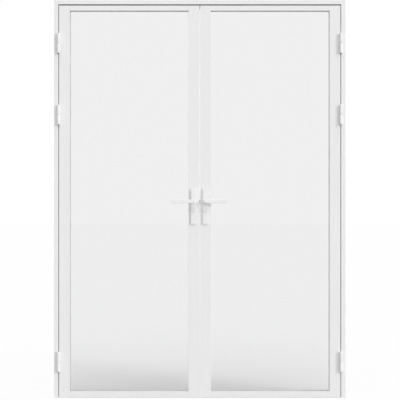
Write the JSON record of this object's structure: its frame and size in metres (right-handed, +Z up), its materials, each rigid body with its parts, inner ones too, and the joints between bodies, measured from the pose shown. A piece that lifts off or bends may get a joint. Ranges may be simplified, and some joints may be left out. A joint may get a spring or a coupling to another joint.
{
  "type": "glass double door",
  "caption": "White framed double door with clear glass leaves, lift-off barrel hinges, lever handles, a latch, a dead bolt and a top bolt, in a three-sided frame.",
  "frame": {"origin": "on the floor, midway between the jambs, in the middle plane of the closed leaves", "axes": "+X to the right seen from the hinge side, +Y away from that viewer, +Z up"},
  "size_m": [1.53, 0.125, 2.09],
  "materials": {
    "profile": "satin white powder coat",
    "glass": "clear",
    "gasket": "matt light grey",
    "fittings": "smooth satin white",
    "steel": "zinc plated"
  },
  "bodies": {
    "frame": {"frame_head": "profile", "left_jamb": "profile", "right_jamb": "profile", "frame_gasket": "gasket", "head_strike": "steel", "hinge_pins": "steel", "left_top_hinge_base": "profile", "left_middle_hinge_base": "profile", "left_bottom_hinge_base": "profile", "right_top_hinge_base": "profile", "right_middle_hinge_base": "profile", "right_bottom_hinge_base": "profile"},
    "left_leaf": {"left_hinge_stile": "profile", "left_meeting_stile": "profile", "left_top_rail": "profile", "left_bottom_rail": "profile", "left_glass": "glass", "left_glazing_beads": "profile", "left_glazing_gaskets": "gasket", "left_setting_blocks": "gasket", "left_bottom_seal": "gasket", "left_front_plate": "fittings", "left_back_plate": "fittings", "left_plate_screws": "steel", "left_lock_case": "steel", "left_forend": "steel", "left_cylinder": "fittings", "left_top_hinge_wing": "profile", "left_middle_hinge_wing": "profile", "left_bottom_hinge_wing": "profile", "left_bolt_guide": "gasket"},
    "left_handle": {"left_front_lever": "fittings", "left_back_lever": "fittings", "left_spindle": "steel", "left_follower": "steel"},
    "left_turn": {"left_thumb_turn": "fittings"},
    "right_leaf": {"right_hinge_stile": "profile", "right_meeting_stile": "profile", "right_top_rail": "profile", "right_bottom_rail": "profile", "right_glass": "glass", "right_glazing_beads": "profile", "right_glazing_gaskets": "gasket", "right_setting_blocks": "gasket", "right_bottom_seal": "gasket", "right_front_plate": "fittings", "right_back_plate": "fittings", "right_plate_screws": "steel", "right_lock_case": "steel", "right_forend": "steel", "right_cylinder": "fittings", "right_top_hinge_wing": "profile", "right_middle_hinge_wing": "profile", "right_bottom_hinge_wing": "profile"},
    "right_handle": {"right_front_lever": "fittings", "right_back_lever": "fittings", "right_spindle": "steel", "right_follower": "steel"},
    "right_turn": {"right_thumb_turn": "fittings"},
    "right_latch": {"right_latch_bolt": "steel"},
    "right_deadbolt": {"right_dead_bolt": "steel"},
    "left_bolt": {"left_top_bolt": "steel"}
  },
  "joints": [
    {"name": "right_leaf_swing", "type": "hinge", "parent": "frame", "child": "right_leaf", "pos_m": [0.74075, -0.03075, 0], "axis": [0, 0, 1], "range_deg": [0, 170]},
    {"name": "left_leaf_swing", "type": "hinge", "parent": "frame", "child": "left_leaf", "pos_m": [-0.74075, -0.03075, 0], "axis": [0, 0, -1], "range_deg": [0, 170]},
    {"name": "right_handle_turn", "type": "hinge", "parent": "right_leaf", "child": "right_handle", "pos_m": [0.031, 0, 1.033], "axis": [0, 1, 0], "range_deg": [0, 45], "stiffness_Nm_per_rad": 1.5, "springref_deg": -28.65},
    {"name": "right_thumb_turn_spin", "type": "hinge", "parent": "right_leaf", "child": "right_turn", "pos_m": [0.031, 0, 0.993], "axis": [0, 1, 0], "range_deg": [0, 90]},
    {"name": "left_handle_turn", "type": "hinge", "parent": "left_leaf", "child": "left_handle", "pos_m": [-0.031, 0, 1.033], "axis": [0, -1, 0], "range_deg": [0, 45], "stiffness_Nm_per_rad": 1.5, "springref_deg": -28.65},
    {"name": "left_thumb_turn_spin", "type": "hinge", "parent": "left_leaf", "child": "left_turn", "pos_m": [-0.031, 0, 0.993], "axis": [0, -1, 0], "range_deg": [0, 90]},
    {"name": "right_latch_slide", "type": "slide", "parent": "right_leaf", "child": "right_latch", "axis": [1, 0, 0], "range_m": [0, 0.012]},
    {"name": "right_dead_bolt_slide", "type": "slide", "parent": "right_leaf", "child": "right_deadbolt", "axis": [-1, 0, 0], "range_m": [0, 0.02]},
    {"name": "left_top_bolt_slide", "type": "slide", "parent": "left_leaf", "child": "left_bolt", "axis": [0, 0, -1], "range_m": [0, 0.014]}
  ],
  "couplings": [
    {"joint": "right_latch_slide", "follows": "right_handle_turn", "m_per_rad": 0.015279},
    {"joint": "right_dead_bolt_slide", "follows": "right_thumb_turn_spin", "m_per_rad": 0.012732},
    {"joint": "left_top_bolt_slide", "follows": "left_handle_turn", "m_per_rad": 0.017825}
  ]
}
